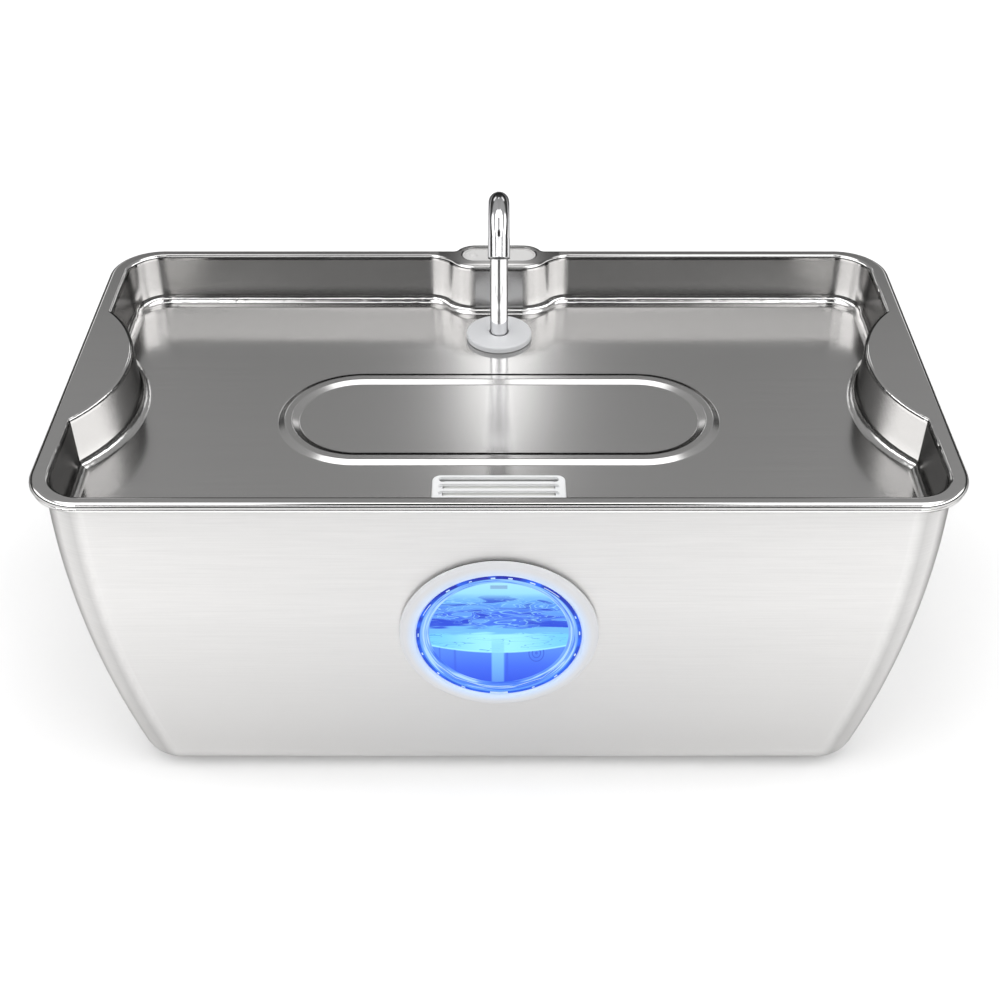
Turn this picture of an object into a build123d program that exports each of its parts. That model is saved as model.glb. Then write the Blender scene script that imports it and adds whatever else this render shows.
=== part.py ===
"""Stainless steel pet water fountain: a tapered tank, a drawn drinking tray with a
swivelling gooseneck spout, a drain filter, a lit window and a submersible pump.

Millimetres. +Z up, -Y is the front with the window, +X is the right-hand end.
The origin is at the middle of the base, on the surface that the fountain stands on.
"""
from build123d import *
from math import atan2, cos, degrees, radians, sin, sqrt, tan
import os

os.makedirs("parts", exist_ok=True)

CUT = 1.0                   # how far a cutting solid runs past what it cuts
NEAR = 0.1                  # tolerance when an edge is picked by its place
FIT_GAP = 0.1               # loose assembly gap between two seated pieces

# ---------------------------------------------------------------- driving dimensions
SHEET = 0.7                 # drawn stainless sheet of the tank and the tray
RIM_W = 360.0               # outer rim, left to right
RIM_D = 200.0               # outer rim, front to back, without the eyelet
RIM_R = 22.0                # rim corners in plan
RIM_Z = 153.0               # deck of the tray, the fountain's rim plane
EYELET_OUT = 6.0            # how far the cable eyelet stands out behind the rim
RIM_Y = -EYELET_OUT / 2     # centre of the rim, so that rim and eyelet centre on Y = 0
ROLL = 2.4                  # height of each rolled edge: the tray's over the tank's
ROLL_W = 3.0                # how far each rolled edge reaches inwards
ROLL_EDGE_R = 1.15          # the tank's bead is nearly a full round
ROLL_CROWN_R = 2.1          # the tray's edge turns down in one wide quarter round
ROLL_FOOT_R = 0.25
TANK_RIM_IN = 0.6           # the tank's rolled edge lies this far inside the tray's

PAD_H = 1.5                 # rubber foot pads
PAD_R = 9.0
PAD_EDGE_R = 0.5
PAD_X = 122.0
PAD_Y = 56.0
TANK_HALF_W = 174.2         # tank ends, outside, at the rim
TANK_GAP_Y = 3.5            # tank front and back walls, in from the rim
KNEE_Z = 133.0              # the walls are upright above this height
LEAN = 3.2                  # degrees that the front and back walls lean in below it
KNEE_R = 300.0              # easy curve between the upright band and the lean
END_BOW_R = 410.0           # bow of the two ends
TANK_R = 17.5               # tank's upright corners
TANK_BOTTOM_R = 13.0

BASIN_DEPTH = 24.0
BASIN_DRAFT = 2.5           # degrees that the basin walls close in towards the floor
BASIN_HALF_W = 172.2        # basin walls, water side
BASIN_GAP_Y = 5.6
BASIN_R = 15.5
BASIN_FLOOR_R = 4.0
BASIN_LIP_R = 1.5
LOBE_REACH = 16.2           # how far the side lobes push into the basin
LOBE_R = 65.0
NOTCH_REACH = 11.0          # the same for the lobe in front of the eyelet
NOTCH_FLAT = 11.0           # half of that lobe's flat front
NOTCH_HALF_W = 33.0

BEAD_L = 180.0              # stadium bead on the tray floor, along its crown
BEAD_D = 61.0
BEAD_Y = -9.5
BEAD_BASE = 9.0             # section across the bead: foot, flat crown, height, foot's root in the sheet
BEAD_CROWN = 3.0
BEAD_H = 1.2
BEAD_ROOT = 1.5
BEAD_CREASE_R = 1.4

EYELET_Y = 93.0             # slot for the pump cable
EYELET_L = 35.0
EYELET_D = 12.6
EYELET_BORDER = 3.7
EYELET_COLLAR = 3.0
EYELET_LIP_R = 0.4
PLUG_GAP = 0.25             # silicone plug in the eyelet: gap all round
PLUG_SUNK = 0.3             # plug's face, below the deck
PLUG_H = 4.2
PLUG_RIM_W = 0.8
PLUG_RIM_H = 0.5
PLUG_HOLLOW = 1.2           # skin of the plug over its hollow underside
NIPPLE_X = -12.4            # domed nipple, pierced for the cable when it is fitted
NIPPLE_R = 2.0
NIPPLE_H = 1.0
CHANNEL_DROP = 34.0         # height of the channel pressed into the tank's back
CHANNEL_GAP = 0.5           # between the eyelet's collar and that channel
CHANNEL_FOOT_R = 7.0
CROOK_R = 2.0               # where the eyelet's border leaves the rim

FAUCET_Y = 57.5
DISC_R = 15.0
DISC_H = 3.0
DISC_EDGE_R = 1.0
DISC_FOOT = 0.4             # chamfer where the disc meets the floor
SOCKET_MOUTH = (4.5, 1.0)   # radius and depth of the wider mouth round the riser
SOCKET_EDGE_R = 0.2
BARB_NECK_R = 6.0           # threaded neck of the faucet base, through the tray floor
NECK_L = 14.0
BARB_R = 4.6
BARB_L = 12.0
BORE_R = 3.0
WASHER_R = 12.0
WASHER_H = 0.8
WASHER_SEAT_R = 12.3        # recess for the washer, under the disc
FLOOR_HOLE_GAP = 0.2        # round the neck
BASE_NUT_AF = 19.0
BASE_NUT_H = 6.0
SEAT_GAP = 0.03
HOSE_R = 6.6
HOSE_END_GAP = 0.5
RISER_R = 4.0
RISER_WALL = 0.6
SPOUT_R = 4.45
SPOUT_FIT = 0.05            # running clearance of the spout on the riser
SPOUT_START = 20.0          # spout's lower end, above the deck
SPOUT_BEND_START = 33.1
SPOUT_BEND_R = 18.0
SPOUT_TURN = 144.0
SPOUT_TIP = 7.5
NOZZLE_L = 8.5
NOZZLE_WALL = 0.2           # thin ferrule over the end of the tube
NOZZLE_LIP = 1.0            # turned-in lip over the end of the tube
NOZZLE_MOUTH_R = 3.8
NOZZLE_EDGE_R = 0.3
STRAIGHTENER_H = 2.0
STRAIGHTENER_FACE = (3.7, 0.2)       # radius of its face in the mouth, and how far that is set back
STRAIGHTENER_HOLE_R = 0.42
STRAIGHTENER_RINGS = ((0, 1), (1.4, 6), (2.8, 12))   # radius and number of holes

GRILLE_W = 53.8
GRILLE_D = 34.6
GRILLE_Y = -70.9
GRILLE_H = 2.0
SLOT_W = 3.2
SLOT_PITCH = 4.7
SLOT_COUNT = 7
DRAIN_W = 48.6              # hole in the tray floor under the grille
DRAIN_D = 31.8
DRAIN_R = 3.0
GRILLE_R = 3.4
GRILLE_EDGE_R = 0.7
GRILLE_RIM = 0.9
SLOT_MARGIN = 2.6
FLANGE_H = 0.9
FLANGE_LAP = 1.5            # basket's flanges lap over the two short sides of the hole
FLANGE_EDGE_R = 1.0
BASKET_H = 23.0
BASKET_WALL = 1.2
BASKET_GAP = 0.4
BASKET_SLOT_W = 2.0
BASKET_SLOT_PITCH = 4.0
BASKET_SLOT_END = 5.0       # web at each end of the basket's slots
PAD_GAP = 0.3               # round the filter pads
LAYERS = (5.0, 8.2, 8.0)    # fleece, carbon and resin pads
LAYER_TOP = 0.2             # top pad below the floor of the tray
LAYER_R = 1.8

WINDOW_Z = 84.4             # window centre on the front wall
WINDOW_R = 33.2             # clear opening of the bezel
BEZEL_R = 40.0
BEZEL_H = 3.6
BARREL_R = 35.8             # bezel's threaded barrel, through the tank wall
BARREL_BACK = -9.0
GASKET_H = 1.0
LENS_R = 34.3
LENS_H = 2.5
LENS_FRONT = 0.6            # lens face, proud of the wall and sunk in the bezel
LENS_SEAL_H = 0.5
LENS_RIM = (33.1, 31.4, 3.0)        # raised rim inside the bezel: outer and inner radius, height
LENS_VIEW = (27.9, 1.0)     # flat view inside the sloping ring: radius and height
LENS_EDGE = 0.15            # small bevel of the rim's edges
LENS_STEP = (0.3, 0.35)     # foot of the sloping ring: width and height
LENS_TOP = 0.5              # head of the sloping ring, below the rim
BEZEL_FOOT = 0.6            # chamfer at the wall
BEZEL_SHOULDER = (1.6, 1.3, 0.4)   # soft shoulder: width, outer and inner drop from the face
BEZEL_SOFT_R = 0.8
FACE_OUT = 2.6              # flat ring of the bezel's face, from the opening
FACE_IN = 0.8
SKIRT_R = 31.8
SKIRT_WALL = 1.4
SKIRT_SHORT = 0.5           # skirt's end, short of the barrel's
LUG_COUNT = 8
LUG = 3.0
WALL_HOLE_GAP = 0.3         # round the barrel
GASKET_SLACK = 0.4
NUT_R = 41.0
NUT_H = 4.5
NUT_GRIPS = 18
GRIP_R = 1.4
THREAD_GAP = 0.1            # threads are left plain, with this radial gap

PUMP_AXIS_Z = 30.0          # impeller axis, along X, under the faucet
CHAMBER_R = 14.0
CHAMBER_HALF = 4.0
ROTOR_R = 7.8
ROTOR_END = 28.0
WELL_GAP = 0.5              # water gap round the rotor
WELL_END = 1.0              # bottom of the rotor well, past the rotor
MAGNET_LOW = 1.1            # magnet's two ends, from the chamber and from the well's shoulder
MAGNET_HIGH = 0.6
SHAFT_R = 1.2
SHAFT_FIT = 0.05            # running clearance of the impeller on the shaft
BUSH_R = 2.6
BUSH_L = 4.0
BUSH_FIT = 0.02
BUSH_POCKET = 4.5
HUB_R = 3.2
BLADE_R = 11.0
BLADE_COUNT = 6
BLADE_T = 1.2
WHEEL_GAP = (0.8, 0.4)      # wheel's clearance to the cover and to the block
WHEEL_DISC = 1.0
HUB_TAIL = 1.5
INLET_R = 6.0
COVER_H = 3.0
COVER_LIP = 2.2             # cover reaches this far past the O-ring
COVER_BOSS = 0.8
SPOKE_COUNT = 3
SPOKE_T = 1.4
SEAT_DEPTH = 0.8            # skin left in front of the bush
GROOVE_R = 15.2             # groove of the chamber's O-ring
GROOVE_HALF = 0.65
GROOVE_DEPTH = 1.1
ORING_R = 0.48
HOUSING_D = 38.0            # motor block, front to back and in height
HOUSING_BACK = 36.0         # motor block's end, right of the impeller
HOUSING_R = 4.0
HOUSING_END_R = 2.0
OUTLET_L = 14.0
CAGE_L = 12.0
CAGE_WALL = 1.4
CAGE_R = 2.5
CAGE_SLOTS = 7
CAGE_SLOT_W = 2.2
CAGE_SLOT_PITCH = 4.2
CAGE_SLOT_END = 6.0
SPONGE_GAP = 0.3
LED_R = 16.0
LED_H = 4.5
LED_WALL = 1.2
LED_EDGE_R = 0.6
BOARD_IN = 1.6              # edge of the board, in from the edge of its cap
BOARD_H = 1.2
LAMP_COUNT = 6
LAMP = (3.0, 2.4, 1.2)
LAMP_R = 11.0
GLAND_R = 4.5
GLAND_FLANGE = (6.0, 1.5)   # radius and thickness
GLAND_L = 8.0
GLAND_BORE = (2.2, 5.0)     # radius and depth
GLAND_EDGE_R = 1.0
CUP_X = 5.0
CUP_Y = 7.0
CUP_STEM_R = 2.6
CUP_SECTION = [(0, 1.2), (4.0, 0.9), (7.6, 0), (8.0, 0.6), (4.5, 3.0), (CUP_STEM_R, 3.6)]

# ---------------------------------------------------------------- derived dimensions
DECK_UNDER = RIM_Z - SHEET
FLOOR_Z = RIM_Z - BASIN_DEPTH
FLOOR_UNDER = FLOOR_Z - SHEET
TANK_TOP = RIM_Z - ROLL
TANK_BOTTOM = PAD_H
TANK_FLOOR = TANK_BOTTOM + SHEET
TANK_HALF_D = RIM_D / 2 - TANK_GAP_Y
LEAN_TAN = tan(radians(LEAN))
RIM_BACK = RIM_Y + RIM_D / 2
PUMP_TOP = PUMP_AXIS_Z + HOUSING_D / 2
COVER_OUT = -CHAMBER_HALF - COVER_H
BUSH_SEAT = 1.2             # front bush, behind the skin of the cover
CAGE_D = HOUSING_D - 1.0


def write(name, *solids):
    """One STEP file for one named piece, or for a group of identical ones."""
    shape = solids[0] if len(solids) == 1 else Compound(children=list(solids))
    shape.label = name
    export_step(shape, f"parts/{name}.step")


def at_height(sketch, z):
    return Pos(0, 0, z) * sketch


def tube(r_out, r_in, z_low, z_high):
    """Upright tube or ring on the Z axis."""
    ring = Circle(r_out) - Circle(r_in) if r_in else Circle(r_out)
    return extrude(at_height(ring, z_low), z_high - z_low)


def turned(points):
    """Solid of revolution about Z from (radius, height) points."""
    profile = make_face(Polyline(*[(r, 0, z) for r, z in points], close=True))
    return revolve(profile, Axis.Z)


def edges_at(shape, z, tolerance=1e-3):
    """Edges that lie whole in the level plane at height z."""
    level = []
    for edge in shape.edges():
        box = edge.bounding_box()
        if abs(box.min.Z - z) < tolerance and abs(box.max.Z - z) < tolerance:
            level.append(edge)
    return level


WINDOW = Plane(origin=(0, RIM_Y - TANK_HALF_D + (KNEE_Z - WINDOW_Z) * LEAN_TAN, WINDOW_Z),
               x_dir=(1, 0, 0), z_dir=(0, -cos(radians(LEAN)), -sin(radians(LEAN))))


def on_window(solid):
    """Set a solid made about Z on the front wall, with Z pointing out of the tank."""
    return WINDOW.location * solid


# ---------------------------------------------------------------- tank
def end_half_width(z, inset=0.0):
    """Half width of the tank at a height: upright, then bowed inwards."""
    fall = max(0.0, KNEE_Z - z)
    radius = END_BOW_R - inset
    return TANK_HALF_W - END_BOW_R + sqrt(radius ** 2 - fall ** 2)


def wall_half_depth(z, inset=0.0):
    """Half depth of the tank at a height: upright, then leaning inwards."""
    fall = max(0.0, KNEE_Z - z)
    return TANK_HALF_D - inset - fall * LEAN_TAN


def tub(inset):
    """Solid tub whose skin lies inset inside the tank's outside."""
    bottom = TANK_BOTTOM + inset
    middle = (KNEE_Z + bottom) / 2
    half_top = end_half_width(KNEE_Z, inset)
    half_mid = end_half_width(middle, inset)
    half_foot = end_half_width(bottom, inset)
    outline = [
        Line((half_foot, 0, bottom), (-half_foot, 0, bottom)),
        ThreePointArc((-half_foot, 0, bottom), (-half_mid, 0, middle), (-half_top, 0, KNEE_Z)),
        Line((-half_top, 0, KNEE_Z), (-half_top, 0, TANK_TOP)),
        Line((-half_top, 0, TANK_TOP), (half_top, 0, TANK_TOP)),
        Line((half_top, 0, TANK_TOP), (half_top, 0, KNEE_Z)),
        ThreePointArc((half_top, 0, KNEE_Z), (half_mid, 0, middle), (half_foot, 0, bottom)),
    ]
    front_view = make_face(Wire(outline))
    deep_top = wall_half_depth(KNEE_Z, inset)
    deep_foot = wall_half_depth(bottom, inset)
    side_view = make_face(Polyline(
        (0, deep_foot, bottom), (0, deep_top, KNEE_Z), (0, deep_top, TANK_TOP),
        (0, -deep_top, TANK_TOP), (0, -deep_top, KNEE_Z), (0, -deep_foot, bottom), close=True))
    knees = [v for v in side_view.vertices() if abs(v.Z - KNEE_Z) < 1e-3]
    side_view = fillet(knees, KNEE_R)
    body = extrude(front_view, RIM_D, both=True) & extrude(side_view, RIM_W, both=True)
    upright = [e for e in body.edges() if abs((e @ 0).Z - (e @ 1).Z) > 0.5
               and abs((e @ 0).X) > 100 and abs((e @ 1).X) > 100]
    body = fillet(upright, TANK_R - inset)
    body = fillet(edges_at(body, bottom), TANK_BOTTOM_R - inset)
    return Pos(0, RIM_Y, 0) * body


def channel(inset):
    """Slot-shaped channel pressed into the back of the tank under the eyelet."""
    margin = SHEET + CHANNEL_GAP + SHEET - inset
    plan = Pos(0, EYELET_Y) * SlotOverall(EYELET_L + 2 * margin, EYELET_D + 2 * margin)
    bottom = TANK_TOP - CHANNEL_DROP + inset
    column = extrude(at_height(plan, bottom), TANK_TOP - bottom)
    return fillet(edges_at(column, bottom), CHANNEL_FOOT_R - inset)


def rim_outline(inset=0.0):
    """Plan of the rim, with the eyelet's border standing out behind it."""
    margin = EYELET_BORDER - inset
    rim = Pos(0, RIM_Y) * RectangleRounded(RIM_W - 2 * inset, RIM_D - 2 * inset, RIM_R - inset)
    border = Pos(0, EYELET_Y) * SlotOverall(EYELET_L + 2 * margin, EYELET_D + 2 * margin)
    outline = rim + border
    back = RIM_BACK - inset
    crooks = [v for v in outline.vertices() if abs(v.X) < EYELET_L and abs(v.Y - back) < NEAR]
    return fillet(crooks, CROOK_R)


def rolled_edge(inset, low, crown_r, foot_r):
    """Edge of the sheet rolled into a bead all round the rim."""
    roll = extrude(at_height(rim_outline(inset), low), ROLL)
    roll = fillet(edges_at(roll, low + ROLL), crown_r)
    roll = fillet(edges_at(roll, low), foot_r)
    core = extrude(at_height(rim_outline(inset + ROLL_W), low - CUT), ROLL + 2 * CUT)
    return roll - core


def tank_shell():
    """Drawn tank with a turned-out flange, a rolled edge and the window hole."""
    skin = tub(0) + channel(0)
    flange = extrude(at_height(rim_outline(TANK_RIM_IN + ROLL_EDGE_R), TANK_TOP - SHEET), SHEET)
    bead = rolled_edge(TANK_RIM_IN, TANK_TOP - ROLL, ROLL_EDGE_R, ROLL_EDGE_R)
    water = tub(SHEET) + channel(SHEET)
    body = skin + flange + bead - water
    return body - on_window(tube(BARREL_R + WALL_HOLE_GAP, 0, -2 * SHEET, CUT))


def foot_pads():
    pad = tube(PAD_R, 0, 0, PAD_H)
    pad = fillet(edges_at(pad, 0), PAD_EDGE_R)
    return [Pos(x, RIM_Y + y) * pad for x in (-PAD_X, PAD_X) for y in (-PAD_Y, PAD_Y)]


# ---------------------------------------------------------------- tray
def eyelet_lobe(grow):
    """Lobe in front of the eyelet: a flat front joined to the back wall by two S bends."""
    back = RIM_BACK - BASIN_GAP_Y
    front = back - NOTCH_REACH
    run = NOTCH_HALF_W - NOTCH_FLAT
    bend = (run ** 2 + NOTCH_REACH ** 2) / (4 * NOTCH_REACH)
    join = degrees(atan2(2 * bend - NOTCH_REACH, run))
    sides = []
    for side in (-1, 1):
        hollow = CenterArc((side * NOTCH_HALF_W, back - bend), bend + grow, 90, side * (90 - join))
        full = CenterArc((side * NOTCH_FLAT, front + bend), bend - grow, 270, side * (90 - join))
        sides += [hollow, full]
    left, right, high = -NOTCH_HALF_W, NOTCH_HALF_W, back + grow + BASIN_GAP_Y
    rest = Polyline((left, back + grow), (left, high), (right, high), (right, back + grow))
    flat = Line((-NOTCH_FLAT, front + grow), (NOTCH_FLAT, front + grow))
    return make_face(sides + [rest, flat])


def basin_outline(grow):
    """Plan of the basin, grown outwards all round."""
    half_w = BASIN_HALF_W + grow
    half_d = RIM_D / 2 - BASIN_GAP_Y + grow
    plan = Pos(0, RIM_Y) * RectangleRounded(2 * half_w, 2 * half_d, BASIN_R + grow)
    lobe_x = BASIN_HALF_W - LOBE_REACH + LOBE_R
    for side in (-1, 1):
        plan -= Pos(side * lobe_x, RIM_Y) * Circle(LOBE_R - grow)
    return plan - eyelet_lobe(grow)


def drawn_basin(grow, top, bottom, floor_r):
    """Block of the basin's shape, with drafted walls and a round at the floor."""
    block = extrude(at_height(basin_outline(grow), top), top - bottom, (0, 0, -1), taper=BASIN_DRAFT)
    return fillet(edges_at(block, bottom), floor_r)


def stadium_bead():
    """Raised bead round a stadium, with soft creases, standing on the tray floor."""
    half, crown, edge = BEAD_BASE / 2, BEAD_CROWN / 2, BEAD_BASE / 2 + BEAD_ROOT
    sunk = -SHEET / 2
    section = make_face(Polyline(
        (-edge, 0, sunk), (-edge, 0, 0), (-half, 0, 0), (-crown, 0, BEAD_H),
        (crown, 0, BEAD_H), (half, 0, 0), (edge, 0, 0), (edge, 0, sunk), close=True))
    creases = [v for v in section.vertices() if v.Z > sunk / 2 and abs(v.X) < edge - NEAR]
    section = fillet(creases, BEAD_CREASE_R)
    radius, straight = BEAD_D / 2, BEAD_L - BEAD_D
    end = revolve(Pos(radius, 0, 0) * section, Axis.Z, revolution_arc=180)
    run = extrude(Pos(radius, 0, 0) * section, straight / 2, both=True)
    bead = Pos(0, straight / 2) * end + run
    bead += Rot(0, 0, 180) * bead
    return Pos(0, BEAD_Y, FLOOR_Z) * Rot(0, 0, 90) * bead


def edges_within(body, half_x, half_y, centre_y):
    """Edges on the deck that lie in the box of that half size, centred on X = 0."""
    found = []
    for edge in edges_at(body, RIM_Z):
        box = edge.bounding_box()
        wide = max(abs(box.min.X), abs(box.max.X))
        deep = max(abs(box.min.Y - centre_y), abs(box.max.Y - centre_y))
        if wide < half_x + NEAR and deep < half_y + NEAR:
            found.append(edge)
    return found


def tray_pan():
    """Drawn drinking tray: lobed basin, stadium bead, eyelet, rolled rim and holes."""
    deck = extrude(at_height(rim_outline(ROLL_CROWN_R), DECK_UNDER), SHEET)
    bead = rolled_edge(0, RIM_Z - ROLL, ROLL_CROWN_R, ROLL_FOOT_R)
    skin = drawn_basin(SHEET, RIM_Z - SHEET / 2, FLOOR_UNDER, BASIN_FLOOR_R + SHEET)
    water = drawn_basin(0, RIM_Z, FLOOR_Z, BASIN_FLOOR_R)
    body = deck + skin + bead - water
    body = fillet(edges_within(body, BASIN_HALF_W, RIM_D / 2 - BASIN_GAP_Y, RIM_Y), BASIN_LIP_R)
    stadium = stadium_bead()
    body = body + stadium - Pos(0, 0, -SHEET) * stadium
    collar = SlotOverall(EYELET_L + 2 * SHEET, EYELET_D + 2 * SHEET)
    body += Pos(0, EYELET_Y, RIM_Z - EYELET_COLLAR) * extrude(collar, EYELET_COLLAR - SHEET / 2)
    slot = SlotOverall(EYELET_L, EYELET_D)
    body -= Pos(0, EYELET_Y, RIM_Z - 2 * EYELET_COLLAR) * extrude(slot, 3 * EYELET_COLLAR)
    body = fillet(edges_within(body, EYELET_L / 2, EYELET_D / 2, EYELET_Y), EYELET_LIP_R)
    drain = RectangleRounded(DRAIN_W, DRAIN_D, DRAIN_R)
    body -= Pos(0, GRILLE_Y, FLOOR_UNDER - CUT) * extrude(drain, SHEET + 2 * CUT)
    hole = tube(BARB_NECK_R + FLOOR_HOLE_GAP, 0, FLOOR_UNDER - CUT, FLOOR_Z + CUT)
    return body - Pos(0, FAUCET_Y) * hole


def cable_plug():
    """Silicone plug that closes the cable eyelet: a rim round its face and a nipple for the cable."""
    face, low = RIM_Z - PLUG_SUNK, RIM_Z - PLUG_SUNK - PLUG_H
    wide, deep = EYELET_L - 2 * PLUG_GAP, EYELET_D - 2 * PLUG_GAP
    outer, inner = SlotOverall(wide, deep), SlotOverall(wide - 2 * PLUG_RIM_W, deep - 2 * PLUG_RIM_W)
    plug = extrude(at_height(outer, low), PLUG_H)
    plug -= extrude(at_height(inner, face - PLUG_RIM_H), 2 * PLUG_RIM_H)
    plug = fillet(edges_at(plug, face), PLUG_RIM_W / 3)
    plug -= extrude(at_height(inner, low - CUT), PLUG_H - PLUG_RIM_H - PLUG_HOLLOW + CUT)
    ball_r = (NIPPLE_R ** 2 + NIPPLE_H ** 2) / (2 * NIPPLE_H)
    dome = Pos(NIPPLE_X, 0, face - PLUG_RIM_H + NIPPLE_H - ball_r) * Sphere(ball_r)
    dome &= Pos(NIPPLE_X, 0, face - PLUG_RIM_H) * Cylinder(NIPPLE_R, 2 * NIPPLE_H)
    return Pos(0, EYELET_Y) * (plug + dome)


# ---------------------------------------------------------------- window
def window_bezel():
    """White ring with a soft front and a barrel that passes through the wall."""
    seat, low, bore = LENS_FRONT + LENS_SEAL_H, GASKET_H, LENS_R + FIT_GAP
    soft_w, outer_drop, inner_drop = BEZEL_SHOULDER
    bezel = turned([
        (BARREL_R, BARREL_BACK), (BARREL_R, low), (BEZEL_R - BEZEL_FOOT, low), (BEZEL_R, low + BEZEL_FOOT),
        (BEZEL_R, BEZEL_H - outer_drop), (BEZEL_R - soft_w, BEZEL_H - inner_drop),
        (WINDOW_R + FACE_OUT, BEZEL_H), (WINDOW_R + FACE_IN, BEZEL_H), (WINDOW_R, BEZEL_H - FACE_IN),
        (WINDOW_R, seat), (bore, seat), (bore, BARREL_BACK)])
    soft = edges_at(bezel, BEZEL_H - inner_drop) + edges_at(bezel, BEZEL_H - outer_drop)
    return on_window(fillet(soft, BEZEL_SOFT_R))


def window_lens():
    """Clear cap: a flat view in a raised rim, a skirt behind it and lugs that key it in the barrel."""
    back = LENS_FRONT - LENS_H
    rim_out, rim_in, rim_h = LENS_RIM
    view_r, view_h = LENS_VIEW
    step_w, step_h = LENS_STEP
    lens = turned([
        (0, back), (LENS_R, back), (LENS_R, LENS_FRONT), (rim_out, LENS_FRONT), (rim_out, rim_h - LENS_EDGE),
        (rim_out - LENS_EDGE, rim_h), (rim_in + LENS_EDGE, rim_h), (rim_in, rim_h - LENS_EDGE),
        (rim_in, rim_h - LENS_TOP), (view_r + step_w, view_h + step_h), (view_r, view_h), (0, view_h)])
    lens += tube(SKIRT_R, SKIRT_R - SKIRT_WALL, BARREL_BACK + SKIRT_SHORT, back)
    lug_in, lug_out = SKIRT_R - SKIRT_WALL / 2, LENS_R - FIT_GAP
    lug = Pos((lug_in + lug_out) / 2, 0, back - LUG / 2) * Box(lug_out - lug_in, LUG, LUG)
    for step in range(LUG_COUNT):
        lens += Rot(0, 0, 360 / LUG_COUNT * (step + 0.5)) * lug
    return on_window(lens)


def window_nut():
    """Ring nut on the barrel, inside the tank, with finger grips round its edge."""
    top = -SHEET - GASKET_H
    nut = tube(NUT_R, BARREL_R + THREAD_GAP, top - NUT_H, top)
    grip = Pos(NUT_R, 0, top - NUT_H / 2) * Cylinder(GRIP_R, NUT_H)
    for step in range(NUT_GRIPS):
        nut += Rot(0, 0, 360 / NUT_GRIPS * step) * grip
    return on_window(nut)


def window_gasket(low):
    return on_window(tube(BEZEL_R - GASKET_H, BARREL_R + GASKET_SLACK, low, low + GASKET_H))


def lens_seal():
    return on_window(tube(LENS_R, WINDOW_R, LENS_FRONT, LENS_FRONT + LENS_SEAL_H))


# ---------------------------------------------------------------- drain filter
def drain_grille():
    """Slotted grille over the drain, with a rim that hides the basket's flanges."""
    plate = extrude(RectangleRounded(GRILLE_W, GRILLE_D, GRILLE_R), GRILLE_H)
    plate = fillet(edges_at(plate, GRILLE_H), GRILLE_EDGE_R)
    pocket = offset(RectangleRounded(GRILLE_W, GRILLE_D, GRILLE_R), -GRILLE_RIM)
    plate -= extrude(pocket, FLANGE_H)
    slot = extrude(SlotOverall(GRILLE_W - 2 * SLOT_MARGIN, SLOT_W), 2 * GRILLE_H)
    first = -SLOT_PITCH * (SLOT_COUNT - 1) / 2
    for step in range(SLOT_COUNT):
        plate -= Pos(0, first + step * SLOT_PITCH) * slot
    return Pos(0, GRILLE_Y, FLOOR_Z) * plate


def filter_basket():
    """Open-topped box that hangs in the drain hole by flanges on its ends, with a slotted base."""
    wide, deep = DRAIN_W - 2 * BASKET_GAP, DRAIN_D - 2 * BASKET_GAP
    radius = DRAIN_R - BASKET_GAP
    box = extrude(at_height(RectangleRounded(wide, deep, radius), -BASKET_H), BASKET_H)
    flanges = RectangleRounded(DRAIN_W + 2 * FLANGE_LAP, deep - 2 * radius, FLANGE_EDGE_R)
    box += extrude(flanges, FLANGE_H - FIT_GAP)
    inner = RectangleRounded(wide - 2 * BASKET_WALL, deep - 2 * BASKET_WALL, radius - BASKET_WALL)
    box -= extrude(at_height(inner, BASKET_WALL - BASKET_H), BASKET_H + CUT)
    slot = extrude(SlotOverall(wide - 2 * BASKET_SLOT_END, BASKET_SLOT_W), BASKET_WALL + 2 * CUT)
    for step in range(-3, 4):
        box -= Pos(0, BASKET_SLOT_PITCH * step, -BASKET_H - CUT) * slot
    return Pos(0, GRILLE_Y, FLOOR_Z) * box


def filter_layer(index):
    """One of the three pads stacked in the basket, counted from the top."""
    gap = BASKET_GAP + BASKET_WALL + PAD_GAP
    sheet = RectangleRounded(DRAIN_W - 2 * gap, DRAIN_D - 2 * gap, LAYER_R)
    top = FLOOR_Z - LAYER_TOP - sum(LAYERS[:index])
    return Pos(0, GRILLE_Y, top) * extrude(sheet, -(LAYERS[index] - FIT_GAP))


# ---------------------------------------------------------------- faucet
def faucet_base():
    """Plastic disc on the tray floor, with a threaded neck and a hose barb below it."""
    neck_low, barb_low = FLOOR_Z - NECK_L, FLOOR_Z - NECK_L - BARB_L
    mouth_r, mouth_depth = SOCKET_MOUTH
    base = turned([
        (BORE_R, barb_low), (BARB_R, barb_low), (BARB_R, neck_low), (BARB_NECK_R, neck_low),
        (BARB_NECK_R, FLOOR_Z + WASHER_H), (WASHER_SEAT_R, FLOOR_Z + WASHER_H),
        (WASHER_SEAT_R, FLOOR_Z), (DISC_R - DISC_FOOT, FLOOR_Z), (DISC_R, FLOOR_Z + DISC_FOOT),
        (DISC_R, FLOOR_Z + DISC_H), (mouth_r, FLOOR_Z + DISC_H),
        (mouth_r, FLOOR_Z + DISC_H - mouth_depth), (RISER_R + SEAT_GAP, FLOOR_Z + DISC_H - mouth_depth),
        (RISER_R + SEAT_GAP, neck_low), (BORE_R, neck_low)])
    socket, rim = sorted(edges_at(base, FLOOR_Z + DISC_H), key=lambda edge: edge.length)
    return Pos(0, FAUCET_Y) * fillet(rim, DISC_EDGE_R).fillet(SOCKET_EDGE_R, [socket])


def base_washer():
    return Pos(0, FAUCET_Y) * tube(WASHER_R, BARB_NECK_R + FIT_GAP, FLOOR_Z, FLOOR_Z + WASHER_H)


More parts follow.
